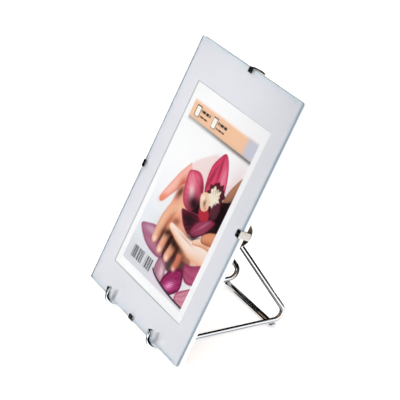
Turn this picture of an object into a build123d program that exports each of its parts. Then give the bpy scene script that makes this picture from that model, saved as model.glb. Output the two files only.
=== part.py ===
from build123d import *
import math
import os

# Frameless clip frame for a 13 x 18 cm sheet, standing on a chromed wire easel.
# Millimetres, +Z up. The picture faces -Y, and +X is to the right of a person who
# looks at it. Origin: on the table, under the middle of the whole object.

# ---------------------------------------------------------------- driving sizes
pane_width = 130.0            # standard 13 x 18 cm format
pane_height = 180.0
pane_corner_radius = 1.5
edge_setback = 0.2            # how far the sheets behind stop short of the glass edge

glass_thickness = 2.0
mat_thickness = 0.6
print_thickness = 0.2
board_thickness = 2.0
stack_thickness = glass_thickness + mat_thickness + print_thickness + board_thickness

window_width = 95.0           # opening in the mat
window_height = 131.5
window_drop = 2.7             # the opening sits this far below the mat's middle

lean_angle = 24.0             # backward lean of the pane, degrees from upright

wire_diameter = 3.5
wire_radius = wire_diameter / 2
wire_bend_radius = 6.0        # to the wire's centre line
wire_end_round = 0.5
easel_half_width = 31.1       # middle of the easel to the centre of either runner
hook_lean = 12.2              # backward lean of the hooks, degrees from upright
hook_length = 13.5            # runner's corner to the hook's tip
hook_to_glass = 3.85          # hook's corner to the glass's bottom front edge, along Y
easel_depth = 103.0           # hook's corner to the rear corner, along Y
brace_angle = 55.1            # brace above the horizontal, degrees

foot_bar_from_hook = 91.5     # hook's corner to the rear foot bar, along Y
foot_bar_overhang = 1.7       # bar's end past the runner's centre line
weld_sink = 0.2               # depth the resistance weld presses the bar into a runner

clip_sheet = 0.5
clip_width = 5.0              # front lip and the web round the edge
clip_lip_reach = 3.2
clip_leaf_length = 12.0
clip_leaf_span = 15.0         # foot to foot of the arched leaf
clip_leaf_rise = 4.3          # crown of the leaf above the backboard
clip_bend_radius = 0.8        # outside of the fold in front of the glass
clip_gap = 0.05               # play between the clip and what it holds
lip_corner_radius = 0.8
# The clips were pushed on by hand, so each sits a little off the middle of its edge.
clip_top_shift = 2.2          # to the right
clip_bottom_shift = -0.9      # to the right
clip_left_shift = -3.5        # up the edge
clip_right_shift = 2.0        # up the edge

hanger_width = 24.0
hanger_height = 13.0
hanger_sheet = 0.5
hanger_corner_radius = 3.0
hanger_hole_radius = 3.0
hanger_from_edge = 22.0       # hole's centre to the nearest edge of the board
nail_recess_radius = 4.5      # room in the board for a nail's head
nail_recess_depth = 1.4
prong_width = 1.6
prong_length = 1.2
prong_inset = 2.5

seat_gap = 0.15               # play under the pane's rear edge
back_gap = 0.15               # play between the backboard and the easel's top bar
glass_chamfer = 0.3

os.makedirs("parts", exist_ok=True)

lean = math.radians(lean_angle)


# ---------------------------------------------------------------- the wire easel
# The easel is worked out in side view first, with Y = 0 at the hook's corner.
runner_rise = math.atan2(wire_diameter - weld_sink, foot_bar_from_hook - hook_to_glass)
hook_opening = math.radians(90.0 - hook_lean) - runner_rise
hook_tangent = wire_bend_radius / math.tan(hook_opening / 2)
hook_corner_z = wire_radius - hook_tangent * math.sin(runner_rise)


def runner_z(from_hook):
    """Height of the runner's centre line at a distance behind the hook's corner."""
    return hook_corner_z + from_hook * math.tan(runner_rise)


# The pane's bottom rear edge stands on the runners. That fixes the glass's height.
rear_edge_from_hook = hook_to_glass + stack_thickness * math.cos(lean)
rear_edge_z = runner_z(rear_edge_from_hook) + wire_radius / math.cos(runner_rise) + seat_gap
glass_edge_z = rear_edge_z + stack_thickness * math.sin(lean)

# The top bar is where the brace's centre line meets a line parallel to the pane,
# one wire radius behind the backboard.
bar_depth = stack_thickness + back_gap + wire_radius
rear_corner_z = runner_z(easel_depth)
brace_back = 1.0 / math.tan(math.radians(brace_angle))
bar_line_start = hook_to_glass + bar_depth / math.cos(lean)
bar_z = (
    (easel_depth - bar_line_start + rear_corner_z * brace_back + glass_edge_z * math.tan(lean))
    / (math.tan(lean) + brace_back)
)
bar_from_hook = easel_depth - (bar_z - rear_corner_z) * brace_back

hook_tip = (
    hook_length * math.sin(math.radians(hook_lean)),
    hook_corner_z + hook_length * math.cos(math.radians(hook_lean)),
)

side_profile = [
    hook_tip,
    (0.0, hook_corner_z),
    (easel_depth, rear_corner_z),
    (bar_from_hook, bar_z),
]


def easel_wire():
    """One length of round wire: hook, runner, rear bend, brace, top bar and back again."""
    left = [(-easel_half_width, y, z) for y, z in side_profile]
    right = [(easel_half_width, y, z) for y, z in reversed(side_profile)]
    bends = [wire_bend_radius] * (len(side_profile) * 2 - 2)
    path = FilletPolyline(*left, *right, radius=bends)
    start = Plane(origin=path @ 0, z_dir=path % 0)
    wire = sweep(start * Circle(wire_radius), path=path)
    tip_rims = [
        edge
        for face in wire.faces().filter_by(GeomType.PLANE)
        for edge in face.edges()
    ]
    return fillet(tip_rims, wire_end_round)


def foot_bar():
    """Straight bar welded under both runners, the easel's rear foot."""
    length = 2 * (easel_half_width + foot_bar_overhang)
    bar = Cylinder(wire_radius, length, rotation=(0, 90, 0))
    bar = chamfer(bar.edges().filter_by(GeomType.CIRCLE), wire_end_round / 2)
    return Pos(0, foot_bar_from_hook, wire_radius) * bar


wire = easel_wire()
bar = foot_bar()
wire_box = wire.bounding_box()
middle_y = (wire_box.min.Y + wire_box.max.Y) / 2
to_origin = Pos(0, -middle_y, 0)

# Pane space has X across, Y through the thickness from the glass's front face and Z up
# the glass from its bottom edge. This places pane space in the object.
on_easel = to_origin * Pos(0, hook_to_glass, glass_edge_z) * Rot(-lean_angle, 0, 0)


# ---------------------------------------------------------------- the sheets
def sheet(width, height, thickness, front, corner):
    """Flat rectangular sheet in pane space whose front face is at depth `front`."""
    plane = Plane(origin=(0, front, pane_height / 2), x_dir=(1, 0, 0), z_dir=(0, 1, 0))
    outline = plane * RectangleRounded(width, height, corner)
    return extrude(outline, thickness)


def glass():
    """Float glass with lightly ground edges."""
    pane = sheet(pane_width, pane_height, glass_thickness, 0.0, pane_corner_radius)
    rims = [
        edge
        for face in (pane.faces().sort_by(Axis.Y)[0], pane.faces().sort_by(Axis.Y)[-1])
        for edge in face.edges()
    ]
    return chamfer(rims, glass_chamfer)


sheet_width = pane_width - 2 * edge_setback
sheet_height = pane_height - 2 * edge_setback
sheet_corner = pane_corner_radius
mat_front = glass_thickness
print_front = mat_front + mat_thickness
board_front = print_front + print_thickness
board_back = board_front + board_thickness


def mat():
    """Card mat whose opening is cut with a 45 degree bevel towards the glass."""
    card = sheet(sheet_width, sheet_height, mat_thickness, mat_front, sheet_corner)
    middle = pane_height / 2 - window_drop
    back = Plane(
        origin=(0, print_front, middle), x_dir=(1, 0, 0), z_dir=(0, -1, 0)
    )
    opening = back * Rectangle(window_width, window_height)
    return card - extrude(opening, mat_thickness, taper=-45)


# ---------------------------------------------------------------- wall hangers
# One for each way up: near the top edge, and near the left edge seen from the front.
hanger_places = (
    (0.0, pane_height - hanger_from_edge, 0),
    (-pane_width / 2 + hanger_from_edge, pane_height / 2, 90),
)


def prong(side_x, side_z):
    """One of the four teeth that hold a hanger plate in the board."""
    x = side_x * (hanger_width / 2 - prong_inset)
    z = side_z * (hanger_height / 2 - hanger_sheet / 2)
    return Pos(x, -prong_length / 2, z) * Box(prong_width, prong_length, hanger_sheet)


def hanger(x, z, turn):
    """Pressed steel plate with a round nail hole and four bent teeth."""
    face = Plane(origin=(0, 0, 0), x_dir=(1, 0, 0), z_dir=(0, 1, 0))
    outline = RectangleRounded(hanger_width, hanger_height, hanger_corner_radius)
    plate = extrude(face * (outline - Circle(hanger_hole_radius)), hanger_sheet)
    rear_rims = plate.faces().sort_by(Axis.Y)[-1].outer_wire().edges()
    plate = chamfer(rear_rims, hanger_sheet / 4)
    for side_x in (-1, 1):
        for side_z in (-1, 1):
            plate += prong(side_x, side_z)
    return Pos(x, board_back, z) * Rot(0, turn, 0) * plate


# ---------------------------------------------------------------- backboard
def board():
    """Backboard with a round recess behind each hanger for a nail's head."""
    panel = sheet(sheet_width, sheet_height, board_thickness, board_front, sheet_corner)
    for x, z, turn in hanger_places:
        recess = Cylinder(nail_recess_radius, nail_recess_depth, rotation=(90, 0, 0))
        panel -= Pos(x, board_back - nail_recess_depth / 2, z) * recess
        for side_x in (-1, 1):
            for side_z in (-1, 1):
                panel -= Pos(x, board_back, z) * Rot(0, turn, 0) * prong(side_x, side_z)
    return panel


# ---------------------------------------------------------------- spring clips
def spring_clip():
    """Clip for the top edge: X along the edge, Y through the pane, Z out of the edge.

    A flat lip lies on the glass, a web wraps the edge and runs on behind the board to
    the crown of an arched leaf, whose two long sides press on the board.
    """
    inside_z = clip_gap
    outside_z = clip_gap + clip_sheet
    lip_front = -clip_gap - clip_sheet
    crown = board_back + clip_leaf_rise
    half_span = clip_leaf_span / 2
    outer_radius = (half_span**2 + clip_leaf_rise**2) / (2 * clip_leaf_rise)
    arc_middle = crown - outer_radius
    leaf_end = -clip_leaf_length

    # Lip and web: an angle section, as wide as the clip.
    section = Polyline(
        (0, lip_front, -clip_lip_reach),
        (0, lip_front, outside_z),
        (0, crown, outside_z),
        (0, crown, inside_z),
        (0, lip_front + clip_sheet, inside_z),
        (0, lip_front + clip_sheet, -clip_lip_reach),
        close=True,
    )
    band = extrude(make_face(section), clip_width / 2, dir=(1, 0, 0), both=True)
    fold = [
        edge
        for edge in band.edges().filter_by(Axis.X)
        if abs(edge.center().Y - lip_front) < 0.01 and abs(edge.center().Z - outside_z) < 0.01
    ]
    band = fillet(fold, clip_bend_radius)
    lip_corners = [
        edge
        for edge in band.edges().filter_by(Axis.Y)
        if abs(edge.center().Z + clip_lip_reach) < 0.01
    ]
    band = fillet(lip_corners, lip_corner_radius)

    # Leaf: a slice of a thin tube that lies along Z, cut off at the board's back.
    tube_height = outside_z - leaf_end
    tube = Cylinder(outer_radius, tube_height) - Cylinder(outer_radius - clip_sheet, tube_height)
    tube = Pos(0, arc_middle, (outside_z + leaf_end) / 2) * tube
    behind = board_back + clip_gap
    keep_depth = 2 * outer_radius
    keep = Pos(0, behind + keep_depth / 2, 0) * Box(4 * half_span, keep_depth, 4 * tube_height)
    leaf = tube & keep

    # The web stops at the leaf's outside.
    solid_tube = Pos(0, arc_middle, (outside_z + leaf_end) / 2) * Cylinder(
        outer_radius, 2 * tube_height
    )
    in_front = Pos(0, arc_middle - keep_depth / 2, 0) * Box(
        4 * half_span, keep_depth, 4 * tube_height
    )
    band = band & (solid_tube + in_front)
    return leaf + band


# Each clip is turned about the pane's own Y axis and sits near the middle of its edge.
clip_places = {
    "clip_top": (clip_top_shift, pane_height, 0),
    "clip_bottom": (clip_bottom_shift, 0.0, 180),
    "clip_left": (-pane_width / 2, pane_height / 2 + clip_left_shift, -90),
    "clip_right": (pane_width / 2, pane_height / 2 + clip_right_shift, 90),
}


# ---------------------------------------------------------------- write the nodes
nodes = {
    "easel_wire": to_origin * wire,
    "rear_foot_bar": to_origin * bar,
    "glass_pane": on_easel * glass(),
    "mat_board": on_easel * mat(),
    "picture_print": on_easel
    * sheet(sheet_width, sheet_height, print_thickness, print_front, sheet_corner),
    "backboard": on_easel * board(),
}
for name, place in zip(("hanger_portrait", "hanger_landscape"), hanger_places):
    nodes[name] = on_easel * hanger(*place)
for name, (x, z, turn) in clip_places.items():
    nodes[name] = on_easel * Pos(x, 0, z) * Rot(0, turn, 0) * spring_clip()

for name, shape in nodes.items():
    export_step(shape, f"parts/{name}.step")
    print(name, round(shape.volume, 1), shape.bounding_box())

print("glass bottom front edge", (-middle_y + hook_to_glass, glass_edge_z))
print("top bar", (bar_from_hook - middle_y, bar_z), "pane height", pane_height)
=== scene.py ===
import math

import bmesh
import bpy
import numpy as np
from bpy.props import FloatProperty, FloatVectorProperty, PointerProperty
from mathutils import Matrix, Vector


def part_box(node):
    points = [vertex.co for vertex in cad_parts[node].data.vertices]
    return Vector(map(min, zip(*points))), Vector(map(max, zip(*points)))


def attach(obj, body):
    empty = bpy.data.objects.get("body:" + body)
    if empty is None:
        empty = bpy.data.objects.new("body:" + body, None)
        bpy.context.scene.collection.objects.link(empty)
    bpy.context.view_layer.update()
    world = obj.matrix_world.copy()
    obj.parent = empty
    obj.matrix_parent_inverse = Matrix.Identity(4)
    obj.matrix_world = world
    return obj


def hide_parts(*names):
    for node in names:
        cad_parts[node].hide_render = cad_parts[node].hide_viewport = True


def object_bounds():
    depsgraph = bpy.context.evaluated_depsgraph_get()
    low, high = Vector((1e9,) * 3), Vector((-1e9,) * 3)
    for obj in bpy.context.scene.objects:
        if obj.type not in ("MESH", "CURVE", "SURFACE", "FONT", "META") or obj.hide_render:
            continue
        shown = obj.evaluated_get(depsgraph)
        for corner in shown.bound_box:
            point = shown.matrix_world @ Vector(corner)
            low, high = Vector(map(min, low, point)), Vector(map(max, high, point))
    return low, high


bl_info = {
    "name": "Clip Frame on a Wire Easel",
    "version": (1, 0, 0),
    "blender": (4, 5, 0),
    "location": "View3D > Sidebar > Clip Frame",
    "description": "Builds the visible pieces of a glass clip frame and its wire easel",
    "category": "Object",
}

MM = 0.001  # every length below is in metres
SHARP_EDGE = math.radians(35.0)  # faces that meet at more than this are shaded apart
BLACK_CARD = "#040506"  # what polished metal mirrors where no light stands

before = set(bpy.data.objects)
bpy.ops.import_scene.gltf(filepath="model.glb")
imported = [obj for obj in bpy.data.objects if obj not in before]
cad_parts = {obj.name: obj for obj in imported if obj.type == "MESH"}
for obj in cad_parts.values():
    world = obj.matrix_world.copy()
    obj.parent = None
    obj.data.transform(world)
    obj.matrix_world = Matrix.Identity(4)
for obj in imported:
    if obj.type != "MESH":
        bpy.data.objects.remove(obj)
cad_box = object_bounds()


# ------------------------------------------------------------------ colours and nodes
def linear(hex_colour):
    """Linear RGB of an sRGB hex colour: c/12.92 up to 0.04045, else ((c + 0.055)/1.055)^2.4."""
    digits = hex_colour.lstrip("#")
    srgb = np.array([int(digits[i : i + 2], 16) for i in (0, 2, 4)]) / 255.0
    low, high = srgb / 12.92, ((srgb + 0.055) / 1.055) ** 2.4
    return tuple(float(c) for c in np.where(srgb <= 0.04045, low, high))


def rgba(colour):
    """The colour at full opacity, as colour inputs and colour stops take it."""
    return (*tuple(colour)[:3], 1.0)


def per_metre(size_mm):
    """How many times a pattern of this size in millimetres repeats in a metre."""
    return 1.0 / (size_mm * MM)


def add(tree, kind, inputs=None, stops=None, **settings):
    """Adds a node, sets its properties and colour stops, and fills its inputs.

    An input that is given a socket is linked to it. Any other value is set on the input.
    """
    made = tree.nodes.new(kind)
    for name, value in settings.items():
        setattr(made, name, value)
    if stops:
        elements = made.color_ramp.elements
        for place, colour in stops[1:-1]:
            elements.new(place).color = rgba(colour)
        for element, (place, colour) in ((elements[0], stops[0]), (elements[-1], stops[-1])):
            element.position, element.color = place, rgba(colour)
    for name, value in (inputs or {}).items():
        if isinstance(value, bpy.types.NodeSocket):
            tree.links.new(value, made.inputs[name])
        else:
            made.inputs[name].default_value = value
    return made


def new_material(name):
    """A material with an empty node tree."""
    material = bpy.data.materials.new(name)
    material.use_nodes = True
    material.node_tree.nodes.clear()
    return material, material.node_tree


def finish_material(tree, shader):
    """Sends the shader to the material's output."""
    add(tree, "ShaderNodeOutputMaterial", {"Surface": shader})


def finish_grained(tree, pattern, rough, strength, depth, inputs, grain=(0.0, 1.0)):
    """Ends a material whose roughness and bump both follow one pattern.

    Values of the pattern from grain's low to its high give roughness from rough's low to
    its high, and the bump is as deep as depth says, in millimetres.
    """
    roughness = add(
        tree, "ShaderNodeMapRange",
        {"Value": pattern, "From Min": grain[0], "From Max": grain[1], "To Min": rough[0],
         "To Max": rough[1]},
    )
    bump = add(
        tree, "ShaderNodeBump", {"Height": pattern, "Strength": strength, "Distance": depth * MM}
    )
    shader = add(
        tree, "ShaderNodeBsdfPrincipled",
        {**inputs, "Roughness": roughness.outputs[0], "Normal": bump.outputs[0]},
    )
    finish_material(tree, shader.outputs[0])


# ------------------------------------------------------------------ meshes
def grid_faces(rows, columns, around=False, first=0):
    """Corner numbers of the quads between neighbouring rows and columns of a grid."""
    index = first + np.arange(rows * columns).reshape(rows, columns)
    if around:
        index = np.hstack([index, index[:, :1]])
    quads = np.stack([index[:-1, :-1], index[:-1, 1:], index[1:, 1:], index[1:, :-1]], axis=-1)
    return quads.reshape(-1, 4)


def make_mesh(name, points, faces):
    """Mesh of these points and faces, turned so that a closed one faces outwards.

    A closed mesh that faces outwards holds a positive volume, the sum of a . (b x c) / 6
    over its triangles.
    """
    points = np.asarray(points, float).reshape(-1, 3)
    mesh = bpy.data.meshes.new(name)
    mesh.from_pydata(points.tolist(), [], faces)
    mesh.calc_loop_triangles()
    corners = np.zeros(len(mesh.loop_triangles) * 3, np.int32)
    mesh.loop_triangles.foreach_get("vertices", corners)
    a, b, c = np.moveaxis(points[corners.reshape(-1, 3)], 1, 0)
    if np.einsum("ij,ij->i", a, np.cross(b, c)).sum() < 0:
        mesh.flip_normals()
    mesh.shade_smooth()
    mesh.set_sharp_from_angle(angle=SHARP_EDGE)
    return mesh


def make_piece(name, mesh, materials, body, replaced):
    """Puts a finished mesh in the scene, on its body, in place of the CAD nodes named."""
    piece = bpy.data.objects.new(name, mesh)
    bpy.context.scene.collection.objects.link(piece)
    for material in materials:
        mesh.materials.append(material)
    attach(piece, body)
    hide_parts(*replaced)
    return piece


def add_attribute(mesh, name, kind, values):
    """Stores one colour or vector for each vertex under this name."""
    attribute = mesh.attributes.new(name, kind, "POINT")
    field = "color" if kind == "FLOAT_COLOR" else "vector"
    attribute.data.foreach_set(field, np.asarray(values, np.float32).ravel())


# ------------------------------------------------------------------ sizes and finishes
def length_property(name, description, millimetres):
    """A length that a user may change, given in millimetres and held in metres."""
    return FloatProperty(name=name, description=description, default=millimetres * MM, unit="LENGTH")


def angle_property(name, description, degrees):
    """An angle that a user may change, given in degrees and held in radians."""
    return FloatProperty(
        name=name, description=description, default=math.radians(degrees), subtype="ANGLE"
    )


def colour_property(name, description, hex_colour):
    """A colour that a user may change, given as sRGB hex and held as linear RGB."""
    return FloatVectorProperty(
        name=name, description=description, subtype="COLOR", size=3, min=0, max=1,
        default=linear(hex_colour),
    )


class ClipFrameEaselSizes(bpy.types.PropertyGroup):
    wire_diameter: length_property("Wire diameter", "Diameter of the easel's wire", 3.5)
    bend_radius: length_property("Bend radius", "Radius of every bend, to the wire's centre line", 6.0)
    end_round: length_property("End rounding", "Rounding of the wire's cut ends", 0.5)
    half_width: length_property("Half width", "Middle of the easel to the centre of a runner", 31.1)
    hook_lean: angle_property("Hook lean", "Backward lean of the hooks from upright", 12.2)
    hook_length: length_property("Hook length", "Runner's front corner to the hook's tip", 13.5)
    hook_to_glass: length_property("Hook to glass", "Runner's front corner to the glass's bottom edge", 3.85)
    depth: length_property("Depth", "Runner's front corner to its rear corner", 103.0)
    brace_angle: angle_property("Brace angle", "Brace above the horizontal", 55.1)
    bar_depth: length_property("Top bar depth", "Front of the glass to the top bar's centre", 6.7)
    foot_from_hook: length_property("Foot bar place", "Runner's front corner to the rear foot bar", 91.5)
    foot_overhang: length_property("Foot bar overhang", "Bar's end past the runner's centre line", 1.7)
    weld_sink: length_property("Weld sink", "Depth that the weld presses the bar into a runner", 0.2)


class ClipFrameSheetSizes(bpy.types.PropertyGroup):
    width: length_property("Width", "Width of the glass", 130.0)
    height: length_property("Height", "Height of the glass", 180.0)
    corner_radius: length_property("Corner radius", "Radius of the sheets' corners", 1.5)
    lean: angle_property("Lean", "Backward lean of the sheets from upright", 24.0)
    glass_thickness: length_property("Glass thickness", "Thickness of the glass", 2.0)
    glass_arris: length_property("Ground edge", "Width ground off the glass's sharp edges", 0.3)
    mat_thickness: length_property("Mat thickness", "Thickness of the mat card", 0.6)
    print_thickness: length_property("Print thickness", "Thickness of the printed sheet", 0.2)
    board_back: length_property("Board back", "Front of the glass to the back of the board", 4.8)
    window_width: length_property("Opening width", "Width of the opening in the mat", 95.0)
    window_height: length_property("Opening height", "Height of the opening in the mat", 131.5)
    window_drop: length_property("Opening drop", "Opening's middle below the mat's middle", 2.7)
    air_gap: length_property("Air gap", "Air between sheets that lie on each other", 0.03)
    print_inset: length_property("Print inset", "How far the printed sheet stops short of the glass", 0.7)
    ink_spacing: length_property("Ink spacing", "Spacing of the coloured points of the print", 0.36)


class ClipFrameClipSizes(bpy.types.PropertyGroup):
    sheet: length_property("Steel thickness", "Thickness of the spring steel", 0.5)
    width: length_property("Lip width", "Width of the front lip and of the web round the edge", 5.0)
    lip_reach: length_property("Lip reach", "How far the lip reaches over the glass", 3.2)
    gap: length_property("Play", "Play between a clip and what it holds", 0.05)
    bend_radius: length_property("Bend radius", "Outside radius of the folds", 0.8)
    lip_corner: length_property("Lip corner", "Radius of the lip's corners", 0.8)
    leaf_length: length_property("Leaf length", "Length of the arched leaf behind the board", 12.0)
    leaf_span: length_property("Leaf span", "Foot to foot of the arched leaf", 15.0)
    leaf_rise: length_property("Leaf rise", "Crown of the leaf above the board", 4.3)
    leaf_corner: length_property("Leaf corner", "Radius of the leaf's corners", 1.0)
    top_shift: length_property("Top shift", "Top clip to the right of its edge's middle", 2.2)
    bottom_shift: length_property("Bottom shift", "Bottom clip to the right of its edge's middle", -0.9)
    left_shift: length_property("Left shift", "Left clip above its edge's middle", -3.5)
    right_shift: length_property("Right shift", "Right clip above its edge's middle", 2.0)


class ClipFrameFinishes(bpy.types.PropertyGroup):
    chrome: colour_property("Chrome", "Colour that chrome plate mirrors", "#DCDFE2")
    spring_steel: colour_property("Spring steel", "Colour of the nickel-plated clips", "#D3CFC8")
    zinc: colour_property("Zinc", "Colour of the zinc-plated hangers", "#B9BFC6")
    mat_card: colour_property("Mat card", "Colour of the mat's face", "#E9E9EE")
    # Painted shade: this grey on the opening's cut edge stands in for the bevel's shade.
    mat_bevel_shade: colour_property("Mat core", "Colour of the card's cut edge", "#C6CECD")
    edge_glass: colour_property("Glass edge", "Colour of the glass's ground edge", "#828D95")
    paper: colour_property("Paper", "Colour of the unprinted paper", "#FEFEFE")
    board: colour_property("Board", "Colour of the backboard", "#F2F3F2")


class ClipFrameStage(bpy.types.PropertyGroup):
    camera_azimuth: angle_property("Camera azimuth", "Camera's turn round the object, from the front", 61.35)
    camera_elevation: angle_property("Camera elevation", "Camera's height above the horizon", 23.98)
    camera_roll: angle_property("Camera roll", "Camera's turn about its own line of sight", 4.11)
    camera_distance: length_property("Camera distance", "Camera to the point that it aims at", 969.4)
    camera_aim: FloatVectorProperty(
        name="Camera aim", description="Point that the camera aims at",
        subtype="TRANSLATION", size=3, default=(81.1 * MM, -45.8 * MM, 124.6 * MM),
    )
    focal_length: FloatProperty(
        name="Focal length", description="Focal length on a 36 mm wide sensor, in millimetres",
        default=151.8,
    )
    floor_half: length_property("Floor half width", "Middle of the floor to its side", 2600.0)
    floor: colour_property("Floor", "Colour of the floor", "#F7F7F7")
    floor_glow: FloatProperty(
        name="Floor glow", description="Strength of the light from below the floor",
        default=0.35,
    )
    sky_strength: FloatProperty(
        name="Studio strength", description="Strength of the light all round", default=1.3,
    )
    key_power: FloatProperty(
        name="Key light", description="Power of the soft light in front", default=5.9,
        unit="POWER",
    )
    key_size: length_property("Key light size", "Diameter of the soft light in front", 350.0)
    key_place: FloatVectorProperty(
        name="Key light place", description="Centre of the soft light in front",
        subtype="TRANSLATION", size=3, default=(-0.25, -0.9, 0.53),
    )


# ------------------------------------------------------------------ the sheets' own space
class Pane:
    """The leaning sheets' own space: x across, d back from the glass's front, v up the glass."""

    def __init__(self, sizes):
        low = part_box("glass_pane")[0]
        self.sine, self.cosine = math.sin(sizes.lean), math.cos(sizes.lean)
        # The ground edges hold the box back from the glass's bottom front corner.
        self.front_y = low.y - sizes.glass_arris * self.sine
        self.front_z = low.z + (sizes.glass_thickness - sizes.glass_arris) * self.sine
        self.back_normal = (0.0, self.cosine, -self.sine)
        self.up = (0.0, self.sine, self.cosine)
        self.corner = (0.0, self.front_y, self.front_z)

    def place(self, x, d, v):
        """World points: y = y0 + d cos(lean) + v sin(lean), z = z0 - d sin(lean) + v cos(lean)."""
        x, d, v = np.broadcast_arrays(x, d, v)
        y = self.front_y + d * self.cosine + v * self.sine
        z = self.front_z - d * self.sine + v * self.cosine
        return np.stack([x, y, z], axis=-1)


def pane_coordinates(tree, pane):
    """Sockets for x, d and v of the sheets' own space, from Object coordinates."""
    at = add(tree, "ShaderNodeTexCoord").outputs["Object"]
    from_corner = add(
        tree, "ShaderNodeVectorMath", {0: at, 1: pane.corner}, operation="SUBTRACT"
    ).outputs[0]
    return [
        add(
            tree, "ShaderNodeVectorMath", {0: from_corner, 1: direction},
            operation="DOT_PRODUCT",
        ).outputs["Value"]
        for direction in ((1.0, 0.0, 0.0), pane.back_normal, pane.up)
    ]


# ------------------------------------------------------------------ the wire easel
def bent_wire(corners, bend_radius, steps):
    """Centre line of a wire bent at each corner, with a frame carried along it untwisted.

    A bend starts R tan(turn/2) before its corner. At angle a past its start the point is
    p + R sin(a) t + R (1 - cos(a)) m, where t is the way the wire came and m points to the
    bend's centre, and the carried normal is turned by a about the bend's axis.
    """
    corners = np.asarray(corners, float)
    runs = np.diff(corners, axis=0)
    runs /= np.linalg.norm(runs, axis=1, keepdims=True)
    normal = np.cross(runs[0], np.eye(3)[np.argmin(np.abs(runs[0]))])
    normal /= np.linalg.norm(normal)
    points, tangents, normals = [corners[:1]], [runs[:1]], [normal[None]]
    for corner, before, after in zip(corners[1:-1], runs[:-1], runs[1:]):
        turn = math.acos(np.clip(before @ after, -1, 1))
        axis = np.cross(before, after)
        axis /= np.linalg.norm(axis)
        inward = np.cross(axis, before)
        start = corner - before * bend_radius * math.tan(turn / 2)
        a = np.linspace(0, turn, steps)[:, None]
        points.append(start + bend_radius * (np.sin(a) * before + (1 - np.cos(a)) * inward))
        tangents.append(np.cos(a) * before + np.sin(a) * inward)
        along = axis * (axis @ normal)
        across = normal - along
        normals.append(along + np.cos(a) * across + np.sin(a) * np.cross(axis, across))
        normal = normals[-1][-1]
    points.append(corners[-1:])
    tangents.append(runs[-1:])
    normals.append(normal[None])
    return np.vstack(points), np.vstack(tangents), np.vstack(normals)


def rounded_ends(points, tangents, normals, end_round, wire_radius, steps=6):
    """Adds the stations of both rounded ends, and gives the wire's radius at each station.

    At angle b round an end, the station is r (1 - sin(b)) short of the tip, and the wire's
    radius there is R - r + r cos(b).
    """
    b = np.linspace(np.pi / 2, 0, steps)
    short = end_round * (1 - np.sin(b))
    radius = wire_radius - end_round * (1 - np.cos(b))
    first = points[0] + tangents[0] * short[:, None]
    last = points[-1] - tangents[-1] * short[::-1, None]
    points = np.vstack([first, points[1:-1], last])
    tangents = np.vstack([np.repeat(tangents[:1], steps, 0), tangents[1:-1],
                          np.repeat(tangents[-1:], steps, 0)])
    normals = np.vstack([np.repeat(normals[:1], steps, 0), normals[1:-1],
                         np.repeat(normals[-1:], steps, 0)])
    radii = np.concatenate([radius, np.full(len(points) - 2 * steps, wire_radius), radius[::-1]])
    return points, tangents, normals, radii


def wire_piece(name, corners, sizes, end_round, material, body, replaced, around=40):
    """Round wire: the circle c + r (cos(q) n + sin(q) t x n) carried along its centre line."""
    line = bent_wire(corners, sizes.bend_radius, steps=20)
    points, tangents, normals, radii = rounded_ends(*line, end_round, sizes.wire_diameter / 2)
    sides = np.cross(tangents, normals)
    q = np.linspace(0, 2 * np.pi, around, endpoint=False)
    out = np.cos(q)[None, :, None] * normals[:, None] + np.sin(q)[None, :, None] * sides[:, None]
    grid = points[:, None] + radii[:, None, None] * out
    rows = len(points)
    faces = grid_faces(rows, around, around=True).tolist()
    faces += [list(range(around))[::-1], list(range((rows - 1) * around, rows * around))]
    mesh = make_mesh(name, grid, faces)
    length = np.concatenate([[0], np.cumsum(np.linalg.norm(np.diff(points, axis=0), axis=1))])
    strip = np.stack(
        np.broadcast_arrays(
            length[:, None],
            radii[:, None] * np.cos(q)[None],
            radii[:, None] * np.sin(q)[None],
        ),
        axis=-1,
    )
    add_attribute(mesh, "wire_place", "FLOAT_VECTOR", strip)
    return make_piece(name, mesh, [material], body, replaced)


def easel_side(sizes, pane):
    """The easel's side view: hook's tip, front corner, rear corner and top bar, as (y, z).

    The runners climb from the table at the hooks to the top of the foot bar. The top bar
    is where the brace meets the line that runs behind the board, parallel to it.
    """
    radius = sizes.wire_diameter / 2
    rise = math.atan2(sizes.wire_diameter - sizes.weld_sink, sizes.foot_from_hook - sizes.hook_to_glass)
    opening = math.pi / 2 - sizes.hook_lean - rise
    front_z = radius - sizes.bend_radius / math.tan(opening / 2) * math.sin(rise)
    front_y = pane.front_y - sizes.hook_to_glass
    rear_z = front_z + sizes.depth * math.tan(rise)
    back = 1.0 / math.tan(sizes.brace_angle)
    bar_start = sizes.hook_to_glass + sizes.bar_depth / pane.cosine
    bar_z = (
        sizes.depth - bar_start + rear_z * back + pane.front_z * pane.sine / pane.cosine
    ) / (pane.sine / pane.cosine + back)
    bar_y = sizes.depth - (bar_z - rear_z) * back
    tip = (
        sizes.hook_length * math.sin(sizes.hook_lean),
        front_z + sizes.hook_length * math.cos(sizes.hook_lean),
    )
    side = [tip, (0.0, front_z), (sizes.depth, rear_z), (bar_y, bar_z)]
    return [(front_y + y, z) for y, z in side]


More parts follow.
